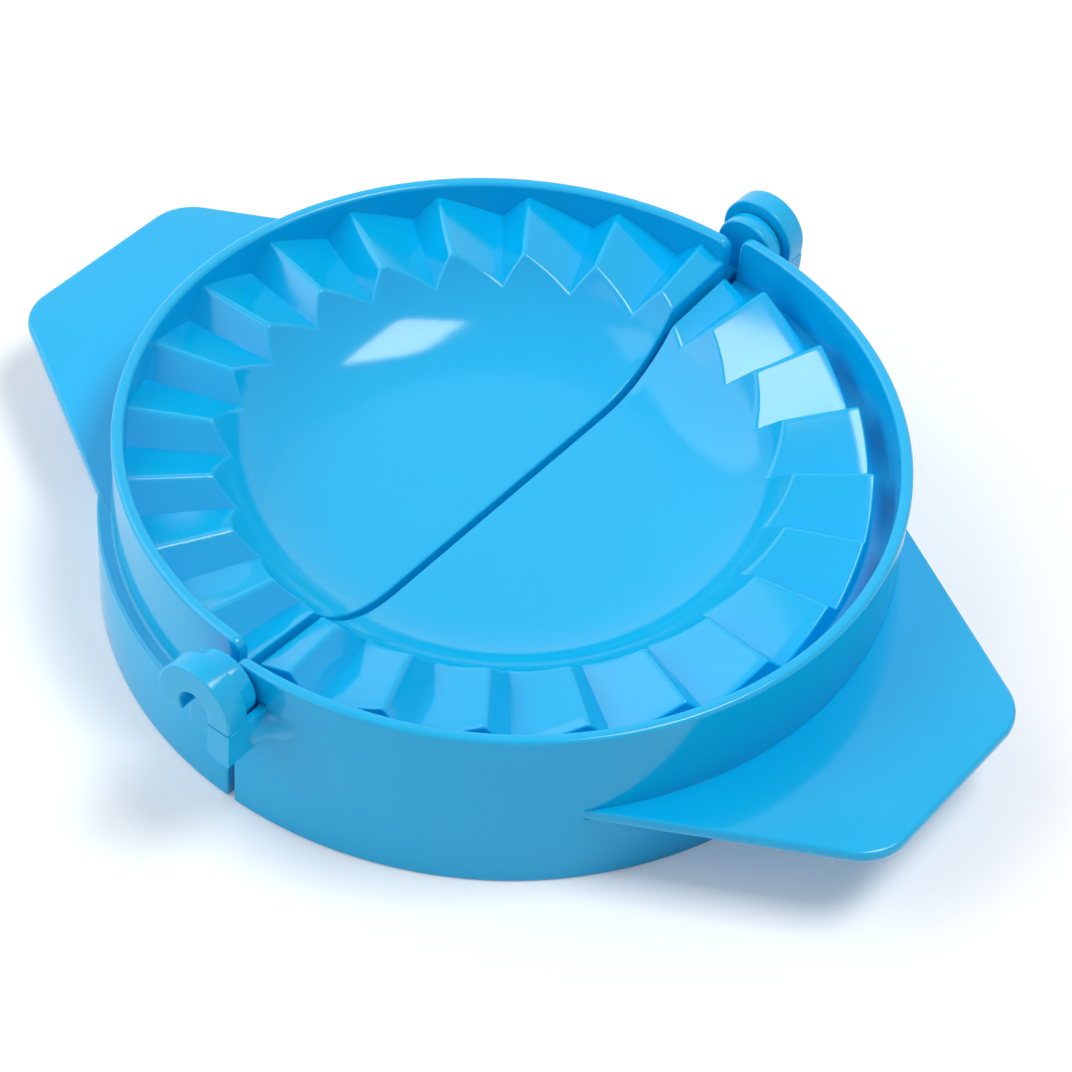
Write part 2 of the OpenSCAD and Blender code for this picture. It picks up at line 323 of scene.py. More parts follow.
def linear(colour: str) -> tuple[float, float, float, float]:
    """Turns an sRGB hex colour to linear.

    Args:
        colour: such as "#0C9FE9".

    Returns:
        Red, green, blue and an alpha of 1.
    """
    parts = np.array([int(colour[i:i + 2], 16) for i in (1, 3, 5)]) / 255.0
    low = parts / 12.92
    high = ((parts + 0.055) / 1.055) ** 2.4
    return (*np.where(parts <= 0.04045, low, high).tolist(), 1.0)


def add_node(tree: bpy.types.NodeTree, kind: str, settings: dict | None = None,
             links: dict | None = None) -> bpy.types.Node:
    """Adds a shader node with its settings and links.

    Args:
        tree: the node tree.
        kind: Blender's name of the node's type.
        settings: values by property name, or else by the name of an enabled input.
        links: outputs of other nodes by the name of the input that they feed.

    Returns:
        The new node.
    """
    node = tree.nodes.new(kind)
    for key, value in (settings or {}).items():
        if hasattr(node, key):
            setattr(node, key, value)
        else:
            enabled_input(node, key).default_value = value
    for key, output in (links or {}).items():
        tree.links.new(output, enabled_input(node, key))
    return node


def enabled_input(node: bpy.types.Node, name: str) -> bpy.types.NodeSocket:
    """The input of that name that the node shows with its present settings."""
    return next(socket for socket in node.inputs if socket.name == name and socket.enabled)


@dataclass
class Skin:
    """A mesh over loops of points: neighbouring loops are joined by quads, and the end loops are closed.

    The loops are an array of shape (loops, points, 3), in millimetres. A loop that closes on itself has its
    last point joined to its first.
    """

    loops: Array
    closed: bool = True

    def faces(self) -> list[list[int]]:
        """Quads between the loops, and a face over each end loop.

        Returns:
            Lists of vertex numbers.
        """
        count, m, _ = self.loops.shape
        around = m if self.closed else m - 1
        j, i = np.meshgrid(np.arange(count - 1), np.arange(around), indexing="ij")
        a = (j * m + i).ravel()
        b = (j * m + (i + 1) % m).ravel()
        quads = np.stack([a, b, b + m, a + m], axis=1).tolist()
        first = list(range(m))
        last = [(count - 1) * m + k for k in reversed(range(m))]
        return quads + [first, last]


@dataclass
class Piece:
    """A finished piece of the press: its skins, the body it rides on and the frame nodes it stands for."""

    name: str
    side: Side
    nodes: list[str]
    skins: list[Skin]
    bevel_mm: float = 0.0

    SHARP_DEG = 38.0
    MERGE_MM = 0.0005
    BEVEL_STEPS = 3

    def build(self, material: bpy.types.Material) -> bpy.types.Object:
        """Makes the object, with merged points, normals outwards, smooth shading and eased edges.

        Args:
            material: the piece's finish.

        Returns:
            The new object, riding on its body.
        """
        mesh = bpy.data.meshes.new(self.name)
        points = np.concatenate([s.loops.reshape(-1, 3) for s in self.skins]) * MM
        faces = []
        start = 0
        for s in self.skins:
            faces += [[v + start for v in f] for f in s.faces()]
            start += s.loops.shape[0] * s.loops.shape[1]
        mesh.from_pydata(points.tolist(), [], faces)
        work = bmesh.new()
        work.from_mesh(mesh)
        bmesh.ops.remove_doubles(work, verts=work.verts, dist=self.MERGE_MM * MM)
        bmesh.ops.recalc_face_normals(work, faces=work.faces)
        if not self.bevel_mm:
            bmesh.ops.triangulate(work, faces=[f for f in work.faces if len(f.verts) > 4])
        work.to_mesh(mesh)
        work.free()
        mesh.shade_smooth()
        mesh.set_sharp_from_angle(angle=math.radians(self.SHARP_DEG))
        mesh.materials.append(material)
        piece = bpy.data.objects.new(self.name, mesh)
        bpy.context.scene.collection.objects.link(piece)
        if self.bevel_mm:
            ease = piece.modifiers.new("eased_edges", "BEVEL")
            ease.width = self.bevel_mm * MM
            ease.segments = self.BEVEL_STEPS
            ease.limit_method = "ANGLE"
            ease.angle_limit = math.radians(self.SHARP_DEG)
            ease.harden_normals = False
            flats = piece.modifiers.new("flat_faces", "WEIGHTED_NORMAL")
            flats.keep_sharp = False
        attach(piece, self.side.body)
        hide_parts(*self.nodes)
        LOG.info("%s rides on %s and stands for %s", self.name, self.side.body, ", ".join(self.nodes))
        return piece


def drawn_out(outline: Array, low: float, high: float, end: End) -> Skin:
    """A straight solid: an outline drawn out along the hinge axis, between two planes.

    Args:
        outline: (x, z) points of shape (n, 2).
        low: distance of the first plane from the middle of the hinge.
        high: distance of the second plane.
        end: the hinge end, whose sign mirrors a solid to -Y.

    Returns:
        The skin.
    """
    x, z = outline[:, 0], outline[:, 1]
    loops = [np.stack([x, np.full(len(x), y * end.value), z], axis=1) for y in (low, high)]
    return Skin(np.array(loops))


@dataclass(frozen=True)
class HalfColumns:
    """Columns around one half: planes beside the seam first, then angles in the round, then planes again.

    A plane column keeps a distance from the seam's middle as its radius changes. A round one keeps its
    angle outside the first of two radii, and draws in towards the half's middle between them, so that
    columns which start close to the seam don't cross the planes further in.
    """

    side: Side
    plane_x: Array
    angles: Array
    draw_radii: tuple[float, float] = (1.0, 0.0)
    draw: float = 1.0

    def turned(self, radii: Array) -> Array:
        """Angles of the round columns at each radius, in degrees, of shape (round columns, rows)."""
        start, stop = self.draw_radii
        middle = self.side.middle_deg
        share = np.clip((start - radii) / (start - stop), 0.0, 1.0)
        return middle + (self.angles[:, None] - middle) * (1.0 - (1.0 - self.draw) * share)

    @property
    def count(self) -> int:
        """Number of columns."""
        return 2 * len(self.plane_x) + len(self.angles)

    def spread(self, plane_values: Array, round_value: float = 0.0) -> Array:
        """One number per column from one per plane column, with the same value all round.

        Args:
            plane_values: values of the first planes, from the seam inwards.
            round_value: value of the round columns.

        Returns:
            Array of one number per column.
        """
        middle = np.full(len(self.angles), round_value)
        return np.concatenate([plane_values, middle, plane_values[::-1]])

    def places(self, radii: Array) -> tuple[Array, Array, Array]:
        """Plan position and angle at each radius of each column.

        On a plane at distance d, y is the root of r squared less d squared.

        Args:
            radii: array of shape (columns, rows), or one that broadcasts to it.

        Returns:
            X, Y and the angle in degrees, each of shape (columns, rows).
        """
        sign = self.side.value
        radii = np.broadcast_to(radii, (self.count, np.shape(radii)[-1]))
        flat = self.spread(self.plane_x)[:, None]
        y_sign = np.concatenate([np.full(len(self.plane_x), -sign), np.zeros(len(self.angles)),
                                 np.full(len(self.plane_x), sign)])[:, None]
        turn = np.zeros(radii.shape)
        in_the_round = slice(len(self.plane_x), len(self.plane_x) + len(self.angles))
        turn[in_the_round] = np.radians(self.turned(radii[in_the_round]))
        on_plane = y_sign != 0
        x = np.where(on_plane, sign * flat, radii * np.cos(turn))
        y = np.where(on_plane, y_sign * np.sqrt(np.maximum(radii**2 - flat**2, 0.0)), radii * np.sin(turn))
        return x, y, np.degrees(np.arctan2(y, x))


@dataclass(frozen=True)
class CrimpRing:
    """Teeth of one half: a long gentle rise and a short steep drop, with crests rounded towards the bowl."""

    sizes: PressSizes
    side: Side
    crest_round_out: float = 0.14
    crest_round_in: float = 0.30
    clear_margin: float = 0.2
    valley_samples: tuple[float, ...] = (0.0, 0.10, 0.35)
    rise_samples: tuple[float, float, int] = (1.2, 2.2, 6)
    crest_samples: tuple[float, float, int] = (1.5, 0.7, 12)
    drop_samples: tuple[float, float, int] = (1.1, 0.35, 4)

    @property
    def valley_deg(self) -> float:
        """Angle of one valley."""
        s = self.sizes
        if self.side is Side.INNER:
            return 90 + s.first_valley
        return 90 - s.first_valley + s.steep_deg

    @property
    def valley_z(self) -> float:
        """Height of the valleys at the bowl. The outer half's leave room for the dough when it is shut."""
        s = self.sizes
        if self.side is Side.INNER:
            return s.crest_z - s.crimp_depth
        return 2 * s.pivot_z - s.crest_z - s.dough_t

    @property
    def end_r(self) -> float:
        """Radius at which the teeth end: at the nesting rim, or at the channel for it."""
        s = self.sizes
        return s.inner_rim_in if self.side is Side.INNER else s.inner_rim_in - s.nest_gap - s.pass_gap

    def angles(self) -> Array:
        """Angles of the round columns, close together at crests and valleys and clear of the seam.

        The samples give distances in degrees: of the rise from its valley and from the crest, of the crest
        to either side, and of the drop from the crest and from the next valley, each with a count.

        Returns:
            Rising angles in degrees.
        """
        s = self.sizes
        crest = s.pitch - s.steep_deg
        rise, top, drop = self.rise_samples, self.crest_samples, self.drop_samples
        local = np.concatenate([
            self.valley_samples,
            np.linspace(rise[0], crest - rise[1], rise[2]),
            crest + np.linspace(-top[0], top[1], top[2]),
            np.linspace(crest + drop[0], s.pitch - drop[1], drop[2]),
            [s.pitch - self.valley_samples[1]],
        ])
        turns = np.arange(-s.teeth, s.teeth + 1)[:, None] * s.pitch
        every = np.sort((self.valley_deg + turns + local).ravel())
        return every[np.abs(every - self.side.middle_deg) < self.clear_deg(self.start_r)]

    @property
    def start_r(self) -> float:
        """Radius inside the teeth, where the ring begins."""
        s = self.sizes
        return s.floor_r + math.sqrt(s.bowl_curve_r**2 - (s.curve_z - self.valley_z) ** 2) - s.wall / 2

    def clear_deg(self, radius: float) -> float:
        """Angle from the half's middle within which a column at a radius is clear of the lip's plane."""
        return 90 - math.degrees(math.asin(self.sizes.lip_x / radius)) - self.clear_margin

    def share(self, deg: Array, inward: Array | float) -> Array:
        """Height within a tooth, from 0 in the valley to about 1 on the crest.

        The lower one of the gentle rise and the steep drop, smoothly joined over a width that grows inwards.

        Args:
            deg: angles in degrees.
            inward: 0 at the teeth's outer ends and 1 at the bowl.

        Returns:
            The share.
        """
        s = self.sizes
        u = np.mod(deg - self.valley_deg, s.pitch)
        rise = u / (s.pitch - s.steep_deg)
        fall = (s.pitch - u) / s.steep_deg
        width = self.crest_round_out + (self.crest_round_in - self.crest_round_out) * inward
        return smooth_min(rise, fall, width)


@dataclass(frozen=True)
class Dish:
    """Bowl, crimp ring and seam lip of one half, as one moulded wall.

    The upper surface is a height over the plan: the lower one of the bowl, which is a flat floor and a round
    curve, and the teeth, which slope gently up to the rim, smoothly joined.
    """

    sizes: PressSizes
    ring: CrimpRing
    side: Side
    bend_round: float = 0.45
    seam_edge_r: float = 0.3
    tooth_edge_r: float = 0.35
    bend_reach: float = 0.9
    rim_bite: float = 0.5
    edge_steps: int = 5
    floor_steps: int = 5
    fillet_steps: int = 4
    top_rows: tuple[int, int, int] = (15, 9, 6)
    under_rows: tuple[int, int, int] = (9, 5, 3)

    def bend_r(self, height: Array, under: float) -> Array:
        """Radius at which the bowl's curve, or its underside, reaches a height."""
        s = self.sizes
        return s.floor_r + np.sqrt((s.bowl_curve_r + under) ** 2 - (s.curve_z - height) ** 2)

    def surface(self, radii: Array, deg: Array, under: float) -> Array:
        """Height of the upper surface, or of the underside.

        Args:
            radii: radii of the points.
            deg: angles of the points.
            under: 0, or the wall's thickness for the underside.

        Returns:
            Heights of the same shape.
        """
        s = self.sizes
        run = np.clip(radii - s.floor_r, 0.0, s.bowl_curve_r + under)
        bowl = s.curve_z - np.sqrt((s.bowl_curve_r + under) ** 2 - run**2)
        sharp = self.ring.valley_z + s.crimp_depth * self.ring.share(deg, 0.0)
        bend = self.bend_r(sharp - under, under)
        inward = np.clip((self.ring.end_r - radii) / (self.ring.end_r - bend), 0.0, 1.0)
        height = self.ring.valley_z + s.crimp_depth * self.ring.share(deg, inward)
        tooth = height - under + math.tan(math.radians(s.ring_slope)) * (radii - bend)
        return smooth_min(bowl, tooth, self.bend_round)

    def columns(self) -> HalfColumns:
        """Columns with a rounded edge at the seam, and the lip's inner plane twice."""
        s = self.sizes
        turn = np.linspace(0, np.pi / 2, self.edge_steps)
        edge = s.seam_x + self.seam_edge_r * (1 - np.cos(turn))
        draw = self.ring.clear_deg(s.floor_r) / self.ring.clear_deg(self.ring.start_r)
        return HalfColumns(self.side, np.concatenate([edge, [s.lip_x, s.lip_x]]), self.ring.angles(),
                           (self.ring.start_r, s.floor_r), draw)

    def rows(self, columns: HalfColumns, under: float, counts: tuple[int, int, int], end_r: float) -> Array:
        """Points of the upper surface or the underside, from the middle of the floor outwards.

        On the flat floor a row is a share of the way from the column's point on the middle line to the
        floor's edge. Outside it, the rows crowd at the bend between bowl and tooth.

        Args:
            columns: the columns.
            under: 0, or the wall's thickness for the underside.
            counts: number of rows on the curve, at the bend and along the tooth.
            end_r: radius of the last row.

        Returns:
            Array of shape (columns, rows, 3).
        """
        s = self.sizes
        x, y, deg = columns.places(np.full((1, 1), s.floor_r))
        share = np.linspace(0, 1, self.floor_steps)[None, :-1]
        pole = self.side.value * columns.spread(columns.plane_x, s.lip_x)[:, None]
        level = np.full_like(x * share, s.floor_z - under)
        floor = np.stack([pole + (x - pole) * share, y * share, level], axis=2)
        _, _, deg = columns.places(self.bend_r(np.full((1, 1), self.ring.valley_z - under), under))
        sharp = self.ring.valley_z + s.crimp_depth * self.ring.share(deg, 0.0)
        bend = self.bend_r(sharp - under, under)
        curve_n, bend_n, tooth_n = counts
        to_curve = np.linspace(0, 1, curve_n)[None, :]
        across = np.linspace(-self.bend_reach, self.bend_reach, bend_n)[None, 1:]
        along = np.linspace(0, 1, tooth_n + 1)[None, 1:]
        radii = np.concatenate([
            s.floor_r + (bend - self.bend_reach - s.floor_r) * to_curve,
            bend + across,
            bend + self.bend_reach + (end_r - bend - self.bend_reach) * along,
        ], axis=1)
        x, y, deg = columns.places(radii)
        outside = np.stack([x, y, self.surface(radii, deg, under)], axis=2)
        return np.concatenate([floor, outside], axis=1)

    def ring_rows(self, columns: HalfColumns, radii: Array, heights: Array) -> Array:
        """Points at given radii and heights in every column.

        Args:
            columns: the columns.
            radii: one radius per row.
            heights: heights of shape (columns, rows), or one per row.

        Returns:
            Array of shape (columns, rows, 3).
        """
        x, y, _ = columns.places(np.asarray(radii, float)[None, :])
        return np.stack([x, y, np.broadcast_to(heights, x.shape)], axis=2)

    def skin(self) -> Skin:
        """The dish as one closed skin: upper surface, outer edge, underside and the faces at the seam."""
        s = self.sizes
        columns = self.columns()
        drop = self.seam_edge_r * (1 - np.sin(np.linspace(0, np.pi / 2, self.edge_steps)))
        drop = columns.spread(np.concatenate([drop, [0.0, 0.0]]))
        deep = columns.spread(np.concatenate([np.full(self.edge_steps + 1, s.lip_depth), [0.0]]))
        if self.side is Side.INNER:
            end_r = s.inner_rim_in + self.rim_bite
            top = self.rows(columns, 0.0, self.top_rows, end_r)
            edge = top[:, :0]
            below = self.rows(columns, s.wall, self.under_rows, end_r)
        else:
            e = self.tooth_edge_r
            turn = np.linspace(0, np.pi / 2, self.edge_steps)
            top = self.rows(columns, 0.0, self.top_rows, self.ring.end_r - e)
            start = top[:, -1:, 2]
            corner = self.ring_rows(columns, self.ring.end_r - e + e * np.sin(turn[1:]),
                                    start - e * (1 - np.cos(turn[1:])))
            foot = s.channel_z - s.wall
            skirt_in = self.ring.end_r - s.wall
            floor_r = s.outer_rim_in + self.rim_bite
            fillet = arc((self.ring.end_r + e, s.channel_z + e), e, 180, 270, self.fillet_steps)
            channel = np.concatenate([fillet, [[floor_r, s.channel_z], [floor_r, foot], [skirt_in, foot]]])
            edge = np.concatenate([corner, self.ring_rows(columns, channel[:, 0], channel[:, 1])], axis=1)
            below = self.rows(columns, s.wall, self.under_rows, skirt_in)
        top[:, :, 2] -= drop[:, None]
        edge[:, :, 2] -= drop[:, None]
        below[:, :, 2] -= deep[:, None]
        return Skin(np.concatenate([top, edge, below[:, ::-1]], axis=1), closed=False)


@dataclass(frozen=True)
class RimWall:
    """Upright rim of one half: a profile carried round the half turn, with eased corners at the seam.

    The inner rim stands on a ledge and a skirt of the full radius, and the outer one goes straight down.
    """

    sizes: PressSizes
    side: Side
    top_r: float = 0.55
    ledge_r: float = 0.45
    foot_r: float = 0.25
    fillet_r: float = 0.5
    corner_r: float = 1.5
    end_r: float = 0.3
    step_deg: float = 1.25
    clear_margin: float = 0.4
    corner_steps: int = 9
    ledge_steps: int = 5
    top_steps: int = 6

    def profile(self) -> Array:
        """Section of the wall as (radius, height), anticlockwise from the inside of the foot."""
        s = self.sizes
        foot = self.foot_r
        start_r = s.outer_rim_in
        outside = [[start_r + foot, 0.0], [s.rim_r - foot, 0.0], [s.rim_r, foot]]
        if self.side is Side.INNER:
            corner = (s.rim_r - self.ledge_r, s.ledge_z - self.ledge_r)
            outside += arc(corner, self.ledge_r, 0, 90, self.ledge_steps).tolist()
            hollow = (s.inner_rim_r + self.fillet_r, s.ledge_z + self.fillet_r)
            outside += arc(hollow, self.fillet_r, 270, 180, self.ledge_steps).tolist()
            out_r, in_r = s.inner_rim_r, s.inner_rim_in
            inside = [[in_r, s.shelf_z], [start_r, s.shelf_z]]
        else:
            out_r, in_r = s.rim_r, s.outer_rim_in
            inside = []
        r, level, steps = self.top_r, s.rim_h - self.top_r, self.top_steps
        top = np.concatenate([arc((out_r - r, level), r, 0, 90, steps),
                              arc((in_r + r, level), r, 90, 180, steps)])
        return np.array(outside + top.tolist() + inside + [[start_r, foot]])

    def skin(self) -> Skin:
        """The wall as a closed skin.

        Near the seam the top follows a quarter circle down, and the whole section draws in a little, so that
        the end face has eased edges.
        """
        s = self.sizes
        profile = self.profile()
        outwards = offset_vectors(profile)
        turn = np.linspace(0, np.pi / 2, self.corner_steps)
        depth = self.corner_r * (1 - np.cos(turn))
        clear = 90 - math.degrees(math.asin((s.seam_x + self.corner_r) / s.inner_rim_in)) - self.clear_margin
        count = int(2 * clear / self.step_deg) + 1
        angles = self.side.middle_deg + np.linspace(-clear, clear, count)
        columns = HalfColumns(self.side, s.seam_x + depth, angles)
        lower = columns.spread(self.corner_r * (1 - np.sin(turn)))
        left = np.clip(self.end_r - depth, 0, None)
        inset = columns.spread(self.end_r - np.sqrt(self.end_r**2 - left**2))
        radii = profile[None, :, 0] - outwards[None, :, 0] * inset[:, None]
        heights = profile[None, :, 1] - outwards[None, :, 1] * inset[:, None]
        on_top = profile[:, 1] > s.rim_h - self.top_r - HAIR_MM
        heights = heights - lower[:, None] * on_top[None, :]
        x, y, _ = columns.places(radii)
        return Skin(np.stack([x, y, heights], axis=2))


@dataclass(frozen=True)
class Handle:
    """Flat handle: straight sides that flare from the tip to the rim, two round corners and eased edges."""

    sizes: PressSizes
    side: Side
    tip_w: float = 29.6
    flare: float = 29.8
    corner_r: float = 7.0
    edge_r: float = 0.6
    wall_bite: float = 0.4
    skim: float = 0.015
    edge_steps: int = 6
    corner_steps: int = 16
    rim_steps: int = 60

    def outline(self) -> Array:
        """Plan of the handle, anticlockwise from its near side at the rim."""
        s = self.sizes
        turn = math.radians(self.flare)
        tip_y = self.tip_w / 2
        tangent = self.corner_r * math.tan(math.radians(45 - self.flare / 2))
        corner_y = tip_y - tangent
        corner_x = s.reach - self.corner_r
        inner_r = (s.rim_r if self.side is Side.OUTER else s.inner_rim_r) - self.wall_bite
        away = tip_y * math.cos(turn) + s.reach * math.sin(turn)
        start = math.degrees(math.asin(away / inner_r)) - self.flare
        near = arc((corner_x, -corner_y), self.corner_r, self.flare - 90, 0, self.corner_steps)
        far = arc((corner_x, corner_y), self.corner_r, 0, 90 - self.flare, self.corner_steps)
        rim = arc((0, 0), inner_r, start, -start, self.rim_steps)
        plan = np.concatenate([near, far, rim])
        return plan if self.side is Side.OUTER else (plan * [-1, 1])[::-1]

    def skin(self) -> Skin:
        """The plate as a closed skin, whose edge is a half round of the edge radius above and below.

        The inner half's plate covers the ledge, a skim higher, as one face with it.
        """
        s = self.sizes
        low, high = s.handle_z
        if self.side is Side.INNER:
            high += self.skim
        plan = self.outline()
        outwards = offset_vectors(plan)
        turn = np.linspace(0, np.pi / 2, self.edge_steps)
        insets = self.edge_r * (1 - np.sin(turn))
        rises = self.edge_r * (1 - np.cos(turn))
        layers = [(i, low + r) for i, r in zip(insets, rises)]
        layers += [(i, high - r) for i, r in zip(insets[::-1], rises[::-1])]
        loops = [np.column_stack([plan - outwards * i, np.full(len(plan), z)]) for i, z in layers]
        return Skin(np.array(loops))


@dataclass(frozen=True)
class Hinge:
    """One end of the snap hinge: hub and pin of the inner half, and clip and lug of the outer half."""

    sizes: PressSizes
    end: End
    hub_r: float = 4.4
    leg_w: float = 4.1
    leg_lift: float = 0.3
    leg_corner_r: float = 1.3
    pin_r: float = 2.03
    pin_gap: float = 0.07
    head_r: float = 5.4
    head_lift: float = 0.5
    hook_drop: float = 1.8
    hook_grip: float = 0.3
    step_drop: float = 1.2
    lug_corner_r: float = 1.2
    blend_depth: float = 3.9
    blend_reach: tuple[float, float] = (1.0, 6.4)
    blend_fade: float = 3.0
    blend_drop: float = 0.3
    blend_widen: float = 0.7
    blend_crowd: float = 1.3
    blend_sink: float = 0.02
    blend_rows: tuple[int, int] = (17, 24)
    web_sink: float = 0.3
    web_bite: float = 0.2
    seat: float = 0.1
    wall_bite: float = 0.6
    ease: float = 0.6
    hub_steps: int = 56
    pin_steps: int = 48
    head_steps: int = 64
    notch_steps: int = 40
    bite_steps: int = 16
    corner_steps: int = 6

    @property
    def notch_r(self) -> float:
        """Radius of the notch around the pin."""
        return self.pin_r + self.pin_gap

    def hub(self) -> list[Skin]:
        """Round boss on a leg, and the web that carries it from the nesting rim."""
        s = self.sizes
        foot = s.ledge_z + self.leg_lift
        left = -self.leg_w
        right = self.notch_r - s.pass_gap
        start = math.degrees(math.acos(right / self.hub_r))
        stop = math.degrees(math.acos(left / self.hub_r))
        boss = arc((0, s.pivot_z), self.hub_r, -start, 360 - stop, self.hub_steps)
        r = self.leg_corner_r
        corner = arc((left + r, foot + r), r, 180, 270, self.corner_steps)
        outline = np.concatenate([boss, corner, [[right, foot]]])
        low = s.ledge_z - self.web_sink
        web = np.array([[left, low], [-s.seam_x, low], [-s.seam_x, s.channel_z], [left, s.channel_z]])
        return [
            drawn_out(outline, *s.hub_y, self.end),
            drawn_out(web, s.inner_rim_r - self.wall_bite, s.hub_y[0] + self.web_bite, self.end),
        ]

    def pin(self) -> list[Skin]:
        """Round pin that stands on the hub."""
        s = self.sizes
        outline = arc((0, s.pivot_z), self.pin_r, 0, 360, self.pin_steps)[:-1]
        return [drawn_out(outline, s.hub_y[1] - self.seat, s.pin_end_y, self.end)]

    def clip(self) -> list[Skin]:
        """Head that is round but for its straight right side, with a notch whose left side hooks the pin."""
        s = self.sizes
        step_z = s.pivot_z - self.step_drop
        hook_z = s.pivot_z - self.hook_drop
        mouth = self.notch_r - self.hook_grip
        left = 180 + math.degrees(math.asin((self.hook_drop + self.head_lift) / self.head_r))
        notch_left = 180 + math.degrees(math.acos(mouth / self.notch_r))
        head = arc((0, s.pivot_z + self.head_lift), self.head_r, 0, left, self.head_steps)
        notch = arc((0, s.pivot_z), self.notch_r, notch_left, 0, self.notch_steps)
        outline = np.concatenate([[[self.head_r, step_z]], head, [[-mouth, hook_z]], notch,
                                  [[self.notch_r, step_z]]])
        return [drawn_out(outline, *s.clip_y, self.end)]

    def lug(self) -> list[Skin]:
        """Block under the clip, its arm round the hub, and the blend from the arm into the rim."""
        s = self.sizes
        low, high = s.lug_z
        left = self.notch_r
        right = self.head_r
        r = self.lug_corner_r
        foot = arc((left + r, low + r), r, 180, 270, self.corner_steps)
        block = np.concatenate([foot, [[right, low], [right, high], [left, high]]])
        pass_r = self.hub_r + s.pass_gap
        top = math.degrees(math.asin((high - s.pivot_z) / pass_r))
        side = -math.degrees(math.acos(left / pass_r))
        bite = arc((0, s.pivot_z), pass_r, top, side, self.bite_steps)
        arm = np.concatenate([foot, [[right, low], [right, high]], bite])
        return [
            drawn_out(block, *s.clip_y, self.end),
            drawn_out(arm, s.rim_r - self.wall_bite, s.clip_y[0] + self.seat, self.end),
            self.blend(),
        ]

    def blend(self) -> Skin:
        """Soft blend that swells out of the rim towards the arm.

        At a height it stands out by the depth times the squared share of its reach that is left. The reach
        grows from the foot up, and towards the arm's top the depth fades along a half cosine.
        """
        s = self.sizes
        low, high = s.lug_z
        top = high - self.blend_drop
        z = np.linspace(low, top, self.blend_rows[1])
        up = np.clip((z - low) / (high - low), 0.0, 1.0)
        over = np.clip((z - top + self.blend_fade) / self.blend_fade, 0.0, 1.0)
        reach = self.blend_reach[0] + (self.blend_reach[1] - self.blend_reach[0]) * up**self.blend_widen
        depth = self.blend_depth * (0.5 + 0.5 * np.cos(np.pi * over))
        along = np.linspace(0.0, 1.0, self.blend_rows[0]) ** self.blend_crowd
        x = self.head_r - self.ease + (reach[None, :] + self.ease) * along[:, None]
        swell = depth[None, :] * (1.0 - along[:, None]) ** 2
        outer = np.sqrt(s.rim_r**2 - x**2) + swell - self.blend_sink * along[:, None]
        inner = np.sqrt((s.rim_r - self.wall_bite) ** 2 - x**2)
        level = np.broadcast_to(z, x.shape)
        out_side = np.stack([x, outer * self.end.value, level], axis=2)
        in_side = np.stack([x, inner * self.end.value, level], axis=2)
        return Skin(np.concatenate([out_side, in_side[:, ::-1]], axis=1))

    def pieces(self) -> list[Piece]:
        """The four pieces of this end."""
        tag = self.end.name.lower()
        inner, outer = Side.INNER, Side.OUTER
        return [
            Piece(f"hinge_hub_{tag}", inner, [inner.node(f"hub_{tag}")], self.hub(), self.ease),
            Piece(f"hinge_pin_{tag}", inner, [inner.node(f"pin_{tag}")], self.pin(), self.ease),
            Piece(f"hinge_clip_{tag}", outer, [outer.node(f"clip_{tag}")], self.clip(), self.ease),
            Piece(f"hinge_lug_{tag}", outer, [outer.node(f"lug_{tag}")], self.lug(), self.ease),
        ]


@dataclass(frozen=True)
class HalfPress:
    """One moulding: its dish, its rim and its handle."""

    sizes: PressSizes
    side: Side

    def pieces(self) -> list[Piece]:
        """The moulding's pieces, each with the frame nodes that it stands for."""
        side = self.side
        ring = CrimpRing(self.sizes, side)
        dish = Dish(self.sizes, ring, side)
        dish_nodes = ["bowl", "crimp_ring", "seam_lip"]
        rim_nodes = ["rim"]
        if side is Side.INNER:
            rim_nodes += ["ledge", "skirt"]
        else:
            dish_nodes.append("channel")
        tag = side.name.lower()
        return [
            Piece(f"{tag}_dish", side, [side.node(n) for n in dish_nodes], [dish.skin()]),
            Piece(f"{tag}_wall", side, [side.node(n) for n in rim_nodes],
                  [RimWall(self.sizes, side).skin()]),
            Piece(f"{tag}_grip", side, [side.node("handle")], [Handle(self.sizes, side).skin()]),
        ]


@dataclass(frozen=True)
class PhotoCamera:
    """Camera at the photograph's viewing angle, aimed at a point in the press, in millimetres."""

    azimuth: float = 34.57
    elevation: float = 46.0
    roll: float = 5.41
    distance: float = 421.3
    target: tuple[float, float, float] = (0.15, 8.32, 0.0)
    focal_px: float = 3247.6
    image_px: float = 1072.0
    sensor_mm: float = 36.0

    def build(self) -> bpy.types.Object:
        """Makes the camera.

        The view's axis is set by azimuth and elevation, and right and up are turned about it by the roll.

        Returns:
            The scene's camera.
        """
        a, e, roll = (math.radians(v) for v in (self.azimuth, self.elevation, self.roll))
        back = Vector((math.sin(a) * math.cos(e), -math.cos(a) * math.cos(e), math.sin(e)))
        level = Vector((math.cos(a), math.sin(a), 0.0))
        upright = back.cross(level)
        right = math.cos(roll) * level + math.sin(roll) * upright
        up = back.cross(right)
        data = bpy.data.cameras.new("photo_camera")
        data.sensor_width = self.sensor_mm
        data.lens = self.focal_px / self.image_px * self.sensor_mm
        camera = bpy.data.objects.new("photo_camera", data)
        turn = Matrix((right, up, back)).transposed().to_4x4()
        camera.matrix_world = Matrix.Translation((Vector(self.target) + back * self.distance) * MM) @ turn
        bpy.context.scene.collection.objects.link(camera)
        bpy.context.scene.camera = camera
        return camera


